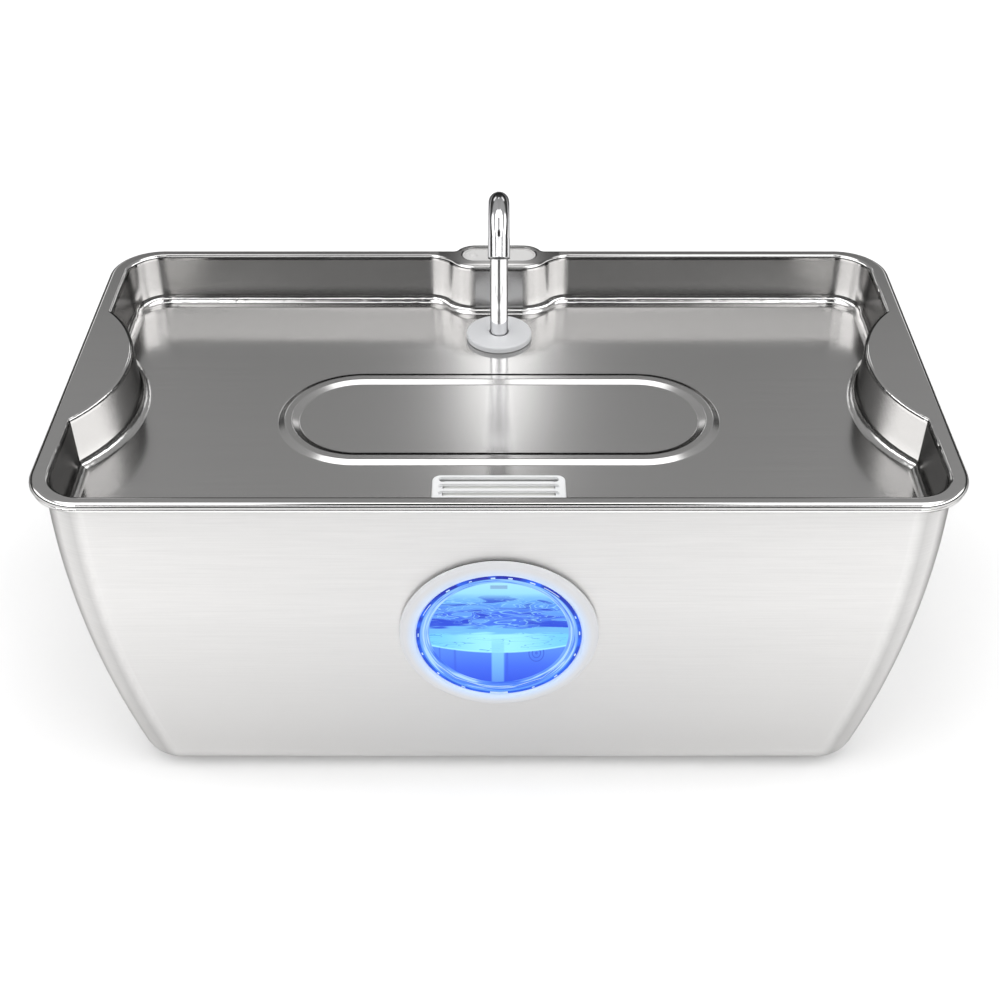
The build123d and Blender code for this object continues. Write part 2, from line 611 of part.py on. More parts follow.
def base_nut():
    """Hexagon nut that clamps the faucet base from under the tray."""
    hexagon = RegularPolygon(BASE_NUT_AF / 2, 6, major_radius=False)
    ring = hexagon - Circle(BARB_NECK_R + THREAD_GAP)
    nut = Pos(0, 0, FLOOR_UNDER - BASE_NUT_H) * extrude(ring, BASE_NUT_H)
    return Pos(0, FAUCET_Y) * nut


def riser_tube():
    """Straight tube that plugs into the base and carries the spout."""
    low, high = FLOOR_Z - NECK_L, RIM_Z + SPOUT_BEND_START - 1
    return Pos(0, FAUCET_Y) * tube(RISER_R, RISER_R - RISER_WALL, low, high)


def spout_path(start, tip):
    """Upright run, bend towards the front and a short straight tip."""
    knee = (0, FAUCET_Y, RIM_Z + SPOUT_BEND_START)
    run = Line((0, FAUCET_Y, RIM_Z + start), knee)
    turn = radians(SPOUT_TURN)
    half = turn / 2
    def on_bend(angle):
        return (0, knee[1] - SPOUT_BEND_R * (1 - cos(angle)), knee[2] + SPOUT_BEND_R * sin(angle))
    bend = ThreePointArc(knee, on_bend(half), on_bend(turn))
    end = on_bend(turn)
    nose = Line(end, (0, end[1] - tip * sin(turn), end[2] + tip * cos(turn)))
    return run, bend, nose


def along(line, r_out, r_in):
    """Tube swept along one straight or arc."""
    start = Plane(origin=line @ 0, z_dir=line % 0)
    return sweep(start * (Circle(r_out) - Circle(r_in)), path=line)


def gooseneck():
    bore = RISER_R + SPOUT_FIT
    pieces = [along(line, SPOUT_R, bore) for line in spout_path(SPOUT_START, SPOUT_TIP)]
    return pieces[0] + pieces[1] + pieces[2]


def spout_nozzle():
    """Collar pressed over the spout's tip."""
    nose = spout_path(SPOUT_START, SPOUT_TIP)[2]
    mouth = Plane(origin=nose @ 1, z_dir=-(nose % 1))
    r_out = SPOUT_R + NOZZLE_WALL
    nozzle = tube(r_out, SPOUT_R, 0, NOZZLE_L - NOZZLE_LIP) + tube(r_out, NOZZLE_MOUTH_R, -NOZZLE_LIP, 0)
    return mouth.location * fillet(edges_at(nozzle, -NOZZLE_LIP), NOZZLE_EDGE_R)


def flow_straightener():
    """Drilled insert behind the nozzle's lip, with its face nearly flush in the mouth."""
    nose = spout_path(SPOUT_START, SPOUT_TIP)[2]
    mouth = Plane(origin=nose @ 1, z_dir=-(nose % 1))
    face_r, set_back = STRAIGHTENER_FACE
    disc = tube(RISER_R, 0, FIT_GAP, STRAIGHTENER_H + FIT_GAP)
    disc += tube(face_r, 0, set_back - NOZZLE_LIP, FIT_GAP)
    for ring_r, count in STRAIGHTENER_RINGS:
        hole = Pos(ring_r, 0) * tube(STRAIGHTENER_HOLE_R, 0, -NOZZLE_LIP - CUT, STRAIGHTENER_H + CUT)
        for step in range(count):
            disc -= Rot(0, 0, 360 / count * step) * hole
    return mouth.location * disc


# ---------------------------------------------------------------- pump
def about_impeller(solid):
    """Turn a solid made about Z onto the impeller axis, Z becoming +X."""
    return Pos(0, FAUCET_Y, PUMP_AXIS_Z) * Rot(0, 90, 0) * solid


def pump_housing():
    """Potted motor block with the impeller chamber, rotor well and outlet barb."""
    face = RectangleRounded(HOUSING_D, HOUSING_D, HOUSING_R)
    block = extrude(at_height(face, -CHAMBER_HALF), HOUSING_BACK + CHAMBER_HALF)
    block = fillet(edges_at(block, HOUSING_BACK), HOUSING_END_R)
    block -= tube(CHAMBER_R, 0, -CHAMBER_HALF - CUT, CHAMBER_HALF)
    block -= tube(ROTOR_R + WELL_GAP, 0, CHAMBER_HALF - CUT, ROTOR_END + WELL_END)
    block -= tube(BUSH_R, 0, ROTOR_END, ROTOR_END + BUSH_POCKET)
    groove_out, groove_in = GROOVE_R + GROOVE_HALF, GROOVE_R - GROOVE_HALF
    block -= tube(groove_out, groove_in, -CHAMBER_HALF - CUT, -CHAMBER_HALF + GROOVE_DEPTH)
    outlet = tube(BARB_R, 0, PUMP_TOP - CUT, PUMP_TOP + OUTLET_L)
    bore = tube(BORE_R, 0, PUMP_AXIS_Z, PUMP_TOP + OUTLET_L + CUT)
    return about_impeller(block) + Pos(0, FAUCET_Y) * outlet - Pos(0, FAUCET_Y) * bore


def chamber_cover():
    """Plate over the impeller chamber, with the water inlet and the front shaft seat."""
    boss = BUSH_R + COVER_BOSS
    plate = tube(GROOVE_R + COVER_LIP, INLET_R, COVER_OUT, -CHAMBER_HALF)
    plate += tube(boss, 0, COVER_OUT, -CHAMBER_HALF)
    spoke = Pos((INLET_R + boss) / 2, 0, COVER_OUT + COVER_H / 2) * Box(INLET_R, SPOKE_T, COVER_H)
    for step in range(SPOKE_COUNT):
        plate += Rot(0, 0, 360 / SPOKE_COUNT * step) * spoke
    return about_impeller(plate - tube(BUSH_R, 0, COVER_OUT + SEAT_DEPTH, -CHAMBER_HALF + CUT))


def chamber_oring():
    return about_impeller(Pos(0, 0, -CHAMBER_HALF + ORING_R) * Torus(GROOVE_R, ORING_R))


def impeller():
    """Hub, back disc and straight blades on the rotor's nose."""
    low, high = -CHAMBER_HALF + WHEEL_GAP[0], CHAMBER_HALF - WHEEL_GAP[1]
    wheel = tube(HUB_R, 0, low, high + HUB_TAIL) + tube(BLADE_R, 0, high - WHEEL_DISC, high)
    blade = Pos((BLADE_R + SHAFT_R) / 2, 0, (low + high) / 2) * Box(BLADE_R - SHAFT_R, BLADE_T, high - low)
    for step in range(BLADE_COUNT):
        wheel += Rot(0, 0, 360 / BLADE_COUNT * step) * blade
    wheel -= tube(SHAFT_R + SHAFT_FIT, 0, low - CUT, high + HUB_TAIL + CUT)
    return about_impeller(wheel)


def rotor_magnet():
    low, high = CHAMBER_HALF + MAGNET_LOW, ROTOR_END - MAGNET_HIGH
    return about_impeller(tube(ROTOR_R, SHAFT_R + SHAFT_FIT, low, high))


def impeller_shaft():
    return about_impeller(tube(SHAFT_R, 0, COVER_OUT + BUSH_SEAT, ROTOR_END + BUSH_L))


def shaft_bushes():
    """Rubber boots that hold the two ends of the ceramic shaft."""
    r_out, r_in = BUSH_R - BUSH_FIT, SHAFT_R + BUSH_FIT
    front = tube(r_out, r_in, COVER_OUT + BUSH_SEAT, -CHAMBER_HALF)
    rear = tube(r_out, r_in, ROTOR_END, ROTOR_END + BUSH_L)
    return [about_impeller(front), about_impeller(rear)]


def inlet_cover():
    """Slotted cover that keeps the sponge in front of the inlet."""
    front = COVER_OUT - CAGE_L
    cage = extrude(at_height(RectangleRounded(CAGE_D, CAGE_D, CAGE_R), front), CAGE_L)
    cage = fillet(edges_at(cage, front), CAGE_R)
    hollow = Rectangle(CAGE_D - 2 * CAGE_WALL, CAGE_D - 2 * CAGE_WALL)
    cage -= extrude(at_height(hollow, front + CAGE_WALL), CAGE_L)
    slot = extrude(Rectangle(CAGE_D - 2 * CAGE_SLOT_END, CAGE_SLOT_W), CAGE_WALL + 2 * CUT)
    first = -CAGE_SLOT_PITCH * (CAGE_SLOTS - 1) / 2
    for step in range(CAGE_SLOTS):
        cage -= Pos(0, first + step * CAGE_SLOT_PITCH, front - CUT) * slot
    return about_impeller(cage)


def prefilter_sponge():
    size = CAGE_D - 2 * (CAGE_WALL + SPONGE_GAP)
    low, high = COVER_OUT - CAGE_L + CAGE_WALL + SPONGE_GAP, COVER_OUT - SPONGE_GAP
    return about_impeller(extrude(at_height(Rectangle(size, size), low), high - low))


def led_board():
    """Round board at the foot of the outlet, with six lamps on it."""
    board = tube(LED_R - BOARD_IN, BARB_R + LED_WALL, PUMP_TOP, PUMP_TOP + BOARD_H)
    lamp = Pos(LAMP_R, 0, PUMP_TOP + BOARD_H) * Box(*LAMP)
    for step in range(LAMP_COUNT):
        board += Rot(0, 0, 360 / LAMP_COUNT * step) * lamp
    return Pos(0, FAUCET_Y) * board


def led_lens():
    """Clear cap over the lamps."""
    top = PUMP_TOP + LED_H
    lens = tube(LED_R, BARB_R + FIT_GAP, PUMP_TOP, top)
    lens -= tube(LED_R - LED_WALL, BARB_R + LED_WALL - FIT_GAP, PUMP_TOP - CUT, top - LED_WALL)
    rim = max(edges_at(lens, top), key=lambda edge: edge.length)
    return Pos(0, FAUCET_Y) * fillet(rim, LED_EDGE_R)


def cable_gland():
    """Rubber gland on the motor block where the pump's cable enters."""
    flange_r, flange_h = GLAND_FLANGE
    bore_r, bore_l = GLAND_BORE
    end = HOUSING_BACK + GLAND_L
    gland = tube(flange_r, 0, HOUSING_BACK, HOUSING_BACK + flange_h) + tube(GLAND_R, 0, HOUSING_BACK, end)
    gland = fillet(edges_at(gland, end), GLAND_EDGE_R)
    return about_impeller(gland - tube(bore_r, 0, end - bore_l, end + CUT))


def suction_cups():
    """Four cups that hold the pump on the tank floor."""
    foot = PUMP_AXIS_Z - HOUSING_D / 2 - TANK_FLOOR
    cup = turned(CUP_SECTION + [(CUP_STEM_R, foot), (0, foot)])
    cup = Pos(0, FAUCET_Y, TANK_FLOOR) * cup
    return [Pos(x, y) * cup for x in (CUP_X, HOUSING_BACK - CUP_X) for y in (-CUP_Y, CUP_Y)]


def outlet_hose():
    """Upright silicone hose from the pump's outlet to the faucet base."""
    low, high = PUMP_TOP + LED_H + HOSE_END_GAP, FLOOR_Z - NECK_L - HOSE_END_GAP
    return Pos(0, FAUCET_Y) * tube(HOSE_R, BARB_R + SEAT_GAP, low, high)


PIECES = {
    "tank_shell": [tank_shell()],
    "foot_pads": foot_pads(),
    "window_bezel": [window_bezel()],
    "window_lens": [window_lens()],
    "lens_seal": [lens_seal()],
    "window_gasket": [window_gasket(0)],
    "window_inner_gasket": [window_gasket(-SHEET - GASKET_H)],
    "window_nut": [window_nut()],
    "tray_pan": [tray_pan()],
    "cable_plug": [cable_plug()],
    "faucet_base": [faucet_base()],
    "base_washer": [base_washer()],
    "base_nut": [base_nut()],
    "riser_tube": [riser_tube()],
    "gooseneck": [gooseneck()],
    "spout_nozzle": [spout_nozzle()],
    "flow_straightener": [flow_straightener()],
    "drain_grille": [drain_grille()],
    "filter_basket": [filter_basket()],
    "filter_fleece": [filter_layer(0)],
    "filter_carbon": [filter_layer(1)],
    "filter_resin": [filter_layer(2)],
    "pump_housing": [pump_housing()],
    "chamber_cover": [chamber_cover()],
    "chamber_oring": [chamber_oring()],
    "impeller": [impeller()],
    "rotor_magnet": [rotor_magnet()],
    "impeller_shaft": [impeller_shaft()],
    "shaft_bushes": shaft_bushes(),
    "inlet_cover": [inlet_cover()],
    "prefilter_sponge": [prefilter_sponge()],
    "led_board": [led_board()],
    "led_lens": [led_lens()],
    "cable_gland": [cable_gland()],
    "suction_cups": suction_cups(),
    "outlet_hose": [outlet_hose()],
}

for piece_name, piece_solids in PIECES.items():
    write(piece_name, *piece_solids)
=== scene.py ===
"""Looks of the stainless steel pet water fountain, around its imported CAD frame. Metres."""
import bpy
from math import cos, pi, radians, sin
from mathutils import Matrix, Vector


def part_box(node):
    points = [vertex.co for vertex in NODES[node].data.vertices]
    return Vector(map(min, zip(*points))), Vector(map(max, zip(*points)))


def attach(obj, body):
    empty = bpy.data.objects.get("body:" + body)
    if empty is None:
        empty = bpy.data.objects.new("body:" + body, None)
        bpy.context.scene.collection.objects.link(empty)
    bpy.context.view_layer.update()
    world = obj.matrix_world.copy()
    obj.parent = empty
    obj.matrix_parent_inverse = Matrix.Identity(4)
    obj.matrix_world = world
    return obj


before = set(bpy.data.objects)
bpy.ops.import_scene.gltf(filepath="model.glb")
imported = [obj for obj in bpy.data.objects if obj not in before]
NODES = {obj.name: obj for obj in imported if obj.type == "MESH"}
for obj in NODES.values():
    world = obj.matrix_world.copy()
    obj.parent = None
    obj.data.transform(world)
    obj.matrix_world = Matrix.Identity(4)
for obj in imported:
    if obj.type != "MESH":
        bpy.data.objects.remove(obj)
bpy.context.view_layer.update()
MM = 0.001

# ------------------------------------------------------------------ camera
PITCH = 37.0                     # degrees below the horizon
FOCAL_PX = 1576.5                # focal length in pixels of the frame
FRAME_PX = 1000.0                # width of the frame
CAMERA_AT = (0.00045, -0.5706, 0.5077)
SENSOR_MM = 36.0


def make_camera():
    """The photograph's camera."""
    data = bpy.data.cameras.new("camera")
    data.sensor_fit = "HORIZONTAL"
    data.sensor_width = SENSOR_MM
    data.lens = FOCAL_PX / FRAME_PX * SENSOR_MM
    camera = bpy.data.objects.new("camera", data)
    bpy.context.scene.collection.objects.link(camera)
    camera.location = CAMERA_AT
    camera.rotation_euler = (radians(90 - PITCH), 0, 0)
    bpy.context.scene.camera = camera


# ------------------------------------------------------------------ colours
def srgb(red, green, blue):
    """Linear colour of an 8-bit display colour."""
    linear = (c / 255 / 12.92 if c < 10.4 else ((c / 255 + 0.055) / 1.055) ** 2.4
              for c in (red, green, blue))
    return tuple(linear) + (1.0,)


def grey(value, warm=0.0):
    """Linear grey, drawn towards red and away from blue by warm."""
    return (value * (1 + warm), value, value * (1 - warm), 1.0)


# ------------------------------------------------------------------ node helpers
class Shader:
    """A small builder for the nodes of one material or world."""

    def __init__(self, tree):
        self.tree = tree
        self.nodes = tree.nodes
        self.nodes.clear()

    def add(self, kind, **settings):
        node = self.nodes.new(kind)
        for name, value in settings.items():
            setattr(node, name, value)
        return node

    def put(self, socket, value):
        """Link a socket to an output, or set it to a plain value."""
        if isinstance(value, bpy.types.NodeSocket):
            self.tree.links.new(value, socket)
        else:
            socket.default_value = value

    def math(self, operation, *values):
        node = self.add("ShaderNodeMath", operation=operation)
        for socket, value in zip(node.inputs, values):
            self.put(socket, value)
        return node.outputs[0]

    def plus(self, a, b):
        return self.math("ADD", a, b)

    def minus(self, a, b):
        return self.math("SUBTRACT", a, b)

    def times(self, first, *others):
        for other in others:
            first = self.math("MULTIPLY", first, other)
        return first

    def size(self, value):
        return self.math("ABSOLUTE", value)

    def away(self, value, place):
        """Distance of a value from a place."""
        return self.size(self.minus(value, place))

    def length(self, a, b):
        return self.math("SQRT", self.plus(self.times(a, a), self.times(b, b)))

    def swing(self, middle, reach, field):
        """A value that swings round its middle by a reach, with a field from 0 to 1."""
        return self.plus(self.times(field, reach), self.minus(middle, reach / 2))

    def between(self, a, b, factor):
        """The number a where the factor is 0, and b where it is 1."""
        return self.plus(a, self.times(self.minus(b, a), factor))

    def remap(self, value, low, high, to_low=0.0, to_high=1.0):
        """A value taken from one range to another, and held at its ends."""
        node = self.add("ShaderNodeMapRange", clamp=True)
        self.put(node.inputs["Value"], value)
        for name, number in (("From Min", low), ("From Max", high),
                             ("To Min", to_low), ("To Max", to_high)):
            node.inputs[name].default_value = number
        return node.outputs[0]

    def soft(self, value, low, high):
        """0 at low and 1 at high, with a smooth way between them."""
        faded = self.remap(value, low, high)
        faded.node.interpolation_type = "SMOOTHSTEP"
        return faded

    def band(self, value, low, high, edge):
        """1 between low and high and 0 outside, with smooth ends that reach over edge to both sides."""
        return self.times(self.soft(value, low - edge, low + edge),
                          self.soft(value, high + edge, high - edge))

    def stripe(self, value, place, outer, inner):
        """1 nearer to a place than inner, and 0 farther than outer."""
        return self.soft(self.away(value, place), outer, inner)

    def mix(self, factor, a, b, blend="MIX"):
        node = self.add("ShaderNodeMix", data_type="RGBA", blend_type=blend)
        factor_socket, a_socket, b_socket = (node.inputs[index] for index in (0, 6, 7))
        self.put(factor_socket, factor)
        self.put(a_socket, a)
        self.put(b_socket, b)
        return node.outputs[2]

    def ramp(self, factor, stops):
        node = self.add("ShaderNodeValToRGB")
        self.put(node.inputs[0], factor)
        elements = node.color_ramp.elements
        while len(elements) < len(stops):
            elements.new(0.5)
        for element, (place, colour) in zip(elements, stops):
            element.position = place
            element.color = colour
        return node.outputs[0]

    def split(self, vector):
        node = self.add("ShaderNodeSeparateXYZ")
        self.put(node.inputs[0], vector)
        return node.outputs

    def join(self, x, y, z=0.0):
        node = self.add("ShaderNodeCombineXYZ")
        for socket, value in zip(node.inputs, (x, y, z)):
            self.put(socket, value)
        return node.outputs[0]

    def vector_math(self, operation, a, b, output="Vector"):
        node = self.add("ShaderNodeVectorMath", operation=operation)
        self.put(node.inputs[0], a)
        node.inputs[1].default_value = b
        return node.outputs[output]

    def noise(self, vector, scale, detail=2.0, roughness=0.5, distortion=0.0):
        node = self.add("ShaderNodeTexNoise")
        self.put(node.inputs["Vector"], vector)
        for name, value in (("Scale", scale), ("Detail", detail), ("Roughness", roughness),
                            ("Distortion", distortion)):
            node.inputs[name].default_value = value
        return node.outputs["Fac"]

    def stretched(self, vector, scale):
        node = self.add("ShaderNodeMapping")
        self.put(node.inputs["Vector"], vector)
        node.inputs["Scale"].default_value = scale
        return node.outputs[0]

    def bump(self, height, strength, distance):
        node = self.add("ShaderNodeBump")
        node.inputs["Strength"].default_value = strength
        node.inputs["Distance"].default_value = distance
        self.put(node.inputs["Height"], height)
        return node.outputs[0]


def material(name):
    """A new material and the builder of its nodes, with its shader's sockets and the object's place."""
    made = bpy.data.materials.new(name)
    made.use_nodes = True
    shader = Shader(made.node_tree)
    bsdf = shader.add("ShaderNodeBsdfPrincipled")
    out = shader.add("ShaderNodeOutputMaterial")
    made.node_tree.links.new(bsdf.outputs[0], out.inputs[0])
    shader.bsdf = bsdf.inputs
    shader.place = shader.add("ShaderNodeTexCoord").outputs["Object"]
    return made, shader


def dress(made, *nodes):
    """Give a material to CAD nodes."""
    for node in nodes:
        slots = NODES[node].data.materials
        slots.clear()
        slots.append(made)


# ------------------------------------------------------------------ surfaces
EDGE_TONE = 0.06                 # polished metal darkens towards its outline
STEEL_TINT = 0.01                # stainless steel is a little warm
FOOT_SHADE_TONE = 0.80                 # tone of the painted shade at the foot of a sheet
PLUG_SHADE_TONE = 0.45               # tone of the painted shade on the tray round the cable plug
PLUG_SHADE_EDGE = 1.5 * MM           # the painted shade's edge fades over this
QUARTER_TURN = 0.25              # rotation of the brushed gloss, in turns
CLOUD = 0.03                     # how far steel's roughness swings from patch to patch
GRAIN_ROUGH = 0.12               # how far moulded plastic's roughness swings with its grain


def painted_corner_bands(s, reflection_bands):
    """Painted reflection bands round an upright corner, lighter and darker by the way the surface faces, from
    stops that run from 0 on the long walls to 1 on the end walls.
    """
    normal = s.split(s.add("ShaderNodeNewGeometry").outputs["Normal"])
    turned = s.math("DIVIDE", s.math("ARCTAN2", s.size(normal[0]), s.size(normal[1])), pi / 2)
    return s.ramp(turned, [(place, grey(tone)) for place, tone in reflection_bands])


def inside_box(s, low, high):
    """1 above the low corner and between the sides of a box, and 0 elsewhere."""
    place = s.split(s.place)
    inside = s.remap(place[2], low.z, low.z + 0.5 * MM)
    for axis in (0, 1):
        reach = (high[axis] - low[axis]) / 2
        beside = s.away(place[axis], (low[axis] + high[axis]) / 2)
        inside = s.times(inside, s.remap(beside, reach, reach - PLUG_SHADE_EDGE))
    return inside


def brushed_steel(name, tone, rough, grain_scale, grain_rough, depth, variation, rim,
                  aniso=0.0, foot_shade=None, satin=None, plug_shade=None, reflection_bands=None):
    """Stainless sheet with fine brush lines, where grain_scale is high across them.

    rim     a height, and the roughness of the smooth metal above it
    foot_shade  two heights, between which painted shade gives way: the tone rises from the foot's to the
    sheet's own
    satin   two heights, and the roughness from the second one up to the rim
    plug_shade  two corners of a box with a darker tone: painted shade round the cable plug
    reflection_bands  painted reflection bands: the lighter and darker tones round an upright corner
    """
    made, s = material(name)
    lines = s.noise(s.stretched(s.place, grain_scale), 1.0, detail=5.0, roughness=0.6)
    height = s.split(s.place)[2]

    dark, light = (grey(tone * (1 + change), STEEL_TINT) for change in (-variation, variation))
    colour = s.mix(s.remap(lines, 0.3, 0.7), dark, light)
    # painted shade, darker towards the foot
    if foot_shade:
        colour = s.mix(s.remap(height, *foot_shade, 1.0, 0.0), colour, grey(tone * FOOT_SHADE_TONE, STEEL_TINT))
    # painted reflection bands, light and dark, round the tank's upright corners
    if reflection_bands:
        colour = s.mix(1.0, colour, painted_corner_bands(s, reflection_bands), "MULTIPLY")
    # painted shade on the tray's top round the cable plug
    if plug_shade:
        colour = s.mix(inside_box(s, *plug_shade), colour, grey(tone * PLUG_SHADE_TONE, STEEL_TINT))
    s.put(s.bsdf["Base Color"], colour)

    roughness = s.swing(s.swing(rough, CLOUD, s.noise(s.place, 7.0)), grain_rough, lines)
    if satin:
        low, high, satin_rough = satin
        roughness = s.between(roughness, satin_rough, s.soft(height, low, high))
    rim_height, rim_rough = rim
    above = s.remap(height, rim_height - 0.1 * MM, rim_height + 0.1 * MM)
    s.put(s.bsdf["Roughness"], s.between(roughness, rim_rough, above))
    s.put(s.bsdf["Normal"], s.bump(s.times(lines, s.minus(1.0, above)), 0.5, depth))

    s.bsdf["Metallic"].default_value = 1.0
    s.bsdf["Specular Tint"].default_value = grey(EDGE_TONE)
    if aniso:
        s.bsdf["Anisotropic"].default_value = aniso
        s.bsdf["Anisotropic Rotation"].default_value = QUARTER_TURN
        s.put(s.bsdf["Tangent"], s.add("ShaderNodeTangent", direction_type="RADIAL", axis="Z").outputs[0])
    return made


def plain(name, colour, rough, grain_scale=900.0, depth=0.01 * MM, variation=0.04, metallic=0.0, coat=0.0):
    """Moulded, turned or felted surface with a grain and cloudy colour."""
    made, s = material(name)
    grain = s.noise(s.place, grain_scale, detail=4.0)
    cloud = s.noise(s.place, 30.0, detail=3.0)
    dark, light = (tuple(min(1.0, c * (1 + change)) for c in colour[:3]) + (1.0,)
                   for change in (-variation, variation))
    s.put(s.bsdf["Base Color"], s.mix(s.remap(cloud, 0.35, 0.65), dark, light))
    s.put(s.bsdf["Roughness"], s.swing(rough, GRAIN_ROUGH, grain))
    s.put(s.bsdf["Normal"], s.bump(grain, 0.3, depth))
    s.bsdf["Metallic"].default_value = metallic
    s.bsdf["Coat Weight"].default_value = coat
    if metallic:
        s.bsdf["Specular Tint"].default_value = grey(EDGE_TONE)
    return made


# ------------------------------------------------------------------ window
LEAN = radians(3.2)                          # lean of the tank's front wall
OUT = Vector((0, -cos(LEAN), -sin(LEAN)))    # the window's axis, out of the tank
UP = Vector((0, -sin(LEAN), cos(LEAN)))
RIGHT = Vector((1, 0, 0))
GASKET_H = 1.0 * MM                          # thickness of the outer gasket
BEZEL_LIT_R = 38.0 * MM                      # the bezel's painted blue glow reaches from its opening out to here
OPENING_R = 33.2 * MM                        # clear opening of the bezel
MARK_R = 32.3 * MM                           # middle of the marks on the cap's raised rim
RIM_IN_R = 31.4 * MM                         # the cap's raised rim, inner edge
RIM_OUT = 3.0 * MM                           # its height over the wall
VIEW_R = 27.9 * MM                           # the flat middle of the cap

gasket_low, gasket_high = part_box("window_gasket")
CENTRE = (gasket_low + gasket_high) / 2 - OUT * GASKET_H / 2      # on the outside of the wall


def at_window(radius, turn, out):
    """Point at a radius, an angle from the right-hand side and a distance out of the wall."""
    return CENTRE + RIGHT * radius * cos(turn) + UP * radius * sin(turn) + OUT * out


def window_place(s):
    """Place on the window in units of the view's radius: p to the right and q up."""
    offset = s.vector_math("SUBTRACT", s.place, CENTRE)
    return [s.vector_math("DOT_PRODUCT", offset, axis / VIEW_R, "Value") for axis in (RIGHT, UP)]


def glowing(name, paint):
    """Material that shines in the colour that paint(s, p, q) returns, under a clear gloss."""
    made, s = material(name)
    grain = s.noise(s.place, 600.0)
    s.bsdf["Base Color"].default_value = grey(0.02)
    s.put(s.bsdf["Roughness"], s.swing(0.08, 0.04, grain))
    s.put(s.bsdf["Normal"], s.bump(grain, 0.2, 0.002 * MM))
    s.bsdf["Specular IOR Level"].default_value = 0.12
    s.put(s.bsdf["Emission Color"], paint(s, *window_place(s)))
    s.bsdf["Emission Strength"].default_value = 1.0
    return made


# the view's colours, painted as a glow of lit water, from its foot to its top
VIEW_STOPS = [(0.0, srgb(38, 84, 240)), (0.16, srgb(58, 108, 250)), (0.34, srgb(84, 142, 252)),
              (0.55, srgb(64, 122, 246)), (0.70, srgb(56, 106, 244)), (0.82, srgb(98, 170, 252)),
              (0.90, srgb(156, 228, 255)), (1.0, srgb(170, 235, 255))]
# painted light and shade in the water: dark troughs and bright crests of the ripples, glints along the
# waterline and a pale column of light
TROUGH, CREST, CREST_LINE = srgb(20, 62, 212), srgb(112, 186, 255), srgb(146, 216, 255)
FAR_BAND, FAR_WATER = srgb(28, 74, 226), srgb(112, 192, 255)
GLINT_MIDDLE, GLINT_SIDE = srgb(160, 244, 255), srgb(118, 212, 252)
GLINT_LINE, GLINT_FOOT = srgb(70, 146, 244), srgb(168, 250, 255)
COLUMN, SEAM, ARC, TAB = srgb(140, 222, 255), srgb(44, 86, 236), srgb(40, 84, 226), srgb(128, 168, 218)
# places in the view, in units of its radius
FAR_BAND_AT = 0.19               # dark band at the far end of the water's surface
WATERLINE, SAG = -0.395, 0.145   # the near waterline's middle, and how much it rises towards the sides
COLUMN_AT = -0.015               # pale column of painted light, at the outlet pipe behind the window
SEAMS = [(-0.64, 0.03), (0.12, 0.03), (-0.86, 0.02)]      # dark upright seams, with their widths
ARCS_AT, ARCS_REACH = (0.545, -0.40), (0.145, 0.23)       # middle and half size of faint rings
ARCS_RATE = 19.0                 # how closely the rings follow each other
TAB_AT = 0.915                   # dull tab at the top


def paint_view(s, p, q):
    """Painted glow of blue-lit water: a pale top, a rippled surface seen from below with painted light on its
    crests, a bright waterline with painted glints, and clear depth.
    """
    side = s.size(p)
    ripple = s.noise(s.join(s.times(p, 1.5), s.times(q, 8.0)), 1.0, detail=1.4, distortion=0.8)
    waves = s.noise(s.join(s.times(p, 2.6), s.times(q, 15.0), 3.7), 1.0, detail=1.0, distortion=0.5)

    above = s.times(s.soft(q, 0.02, 0.10), s.soft(q, 0.80, 0.62))
    colour = s.ramp(s.remap(q, -1.0, 1.0), VIEW_STOPS)
    colour = s.mix(s.times(s.soft(ripple, 0.46, 0.36), above, 0.85), colour, TROUGH)
    colour = s.mix(s.times(s.soft(ripple, 0.53, 0.60), above, 0.6), colour, CREST)
    for field, level, width in ((ripple, 0.50, 0.013), (ripple, 0.42, 0.010), (ripple, 0.58, 0.012),
                                (waves, 0.52, 0.014)):
        line = s.stripe(field, level, width, width * 0.3)
        colour = s.mix(s.times(line, above, 0.7), colour, CREST_LINE)

    wobble = s.plus(s.times(s.minus(waves, 0.5), 0.16), q)
    band = s.stripe(wobble, FAR_BAND_AT, 0.075, 0.045)
    colour = s.mix(s.times(band, s.soft(side, 0.25, 0.75), 0.9), colour, FAR_BAND)
    surface = s.times(s.soft(wobble, 0.14, 0.10), s.soft(q, -0.30, -0.20))
    colour = s.mix(surface, colour, FAR_WATER)

    over_line = s.minus(q, s.plus(s.times(p, p, SAG), WATERLINE))
    over = s.soft(over_line, -0.012, 0.012)
    glint = s.mix(s.soft(side, 0.15, 0.95), GLINT_MIDDLE, GLINT_SIDE)
    glint = s.mix(s.times(s.stripe(waves, 0.44, 0.018, 0.006), 0.7), glint, GLINT_LINE)
    glint = s.mix(s.times(s.soft(over_line, 0.04, 0.015), 0.8), glint, GLINT_FOOT)
    colour = s.mix(s.times(over, s.soft(wobble, 0.03, -0.03)), colour, glint)

    below = s.minus(1.0, over)
    column = s.times(s.stripe(p, COLUMN_AT, 0.105, 0.075), s.remap(q, -1.0, -0.2, 0.35, 0.9))
    colour = s.mix(s.times(column, s.remap(q, -0.05, -0.25)), colour, COLUMN)
    for place, width in SEAMS:
        colour = s.mix(s.times(s.stripe(p, place, width, 0.0), below, 0.5), colour, SEAM)
    radius = s.length(*(s.math("DIVIDE", s.minus(value, middle), reach)
                        for value, middle, reach in zip((p, q), ARCS_AT, ARCS_REACH)))
    arcs = s.times(s.remap(s.math("SINE", s.times(radius, ARCS_RATE)), 0.2, 0.9), s.remap(radius, 1.05, 0.95))
    colour = s.mix(s.times(arcs, below, 0.75), colour, ARC)
    tab = s.times(s.remap(side, 0.128, 0.112), s.remap(s.away(q, TAB_AT), 0.040, 0.028))
    return s.mix(s.times(tab, 0.8), colour, TAB)
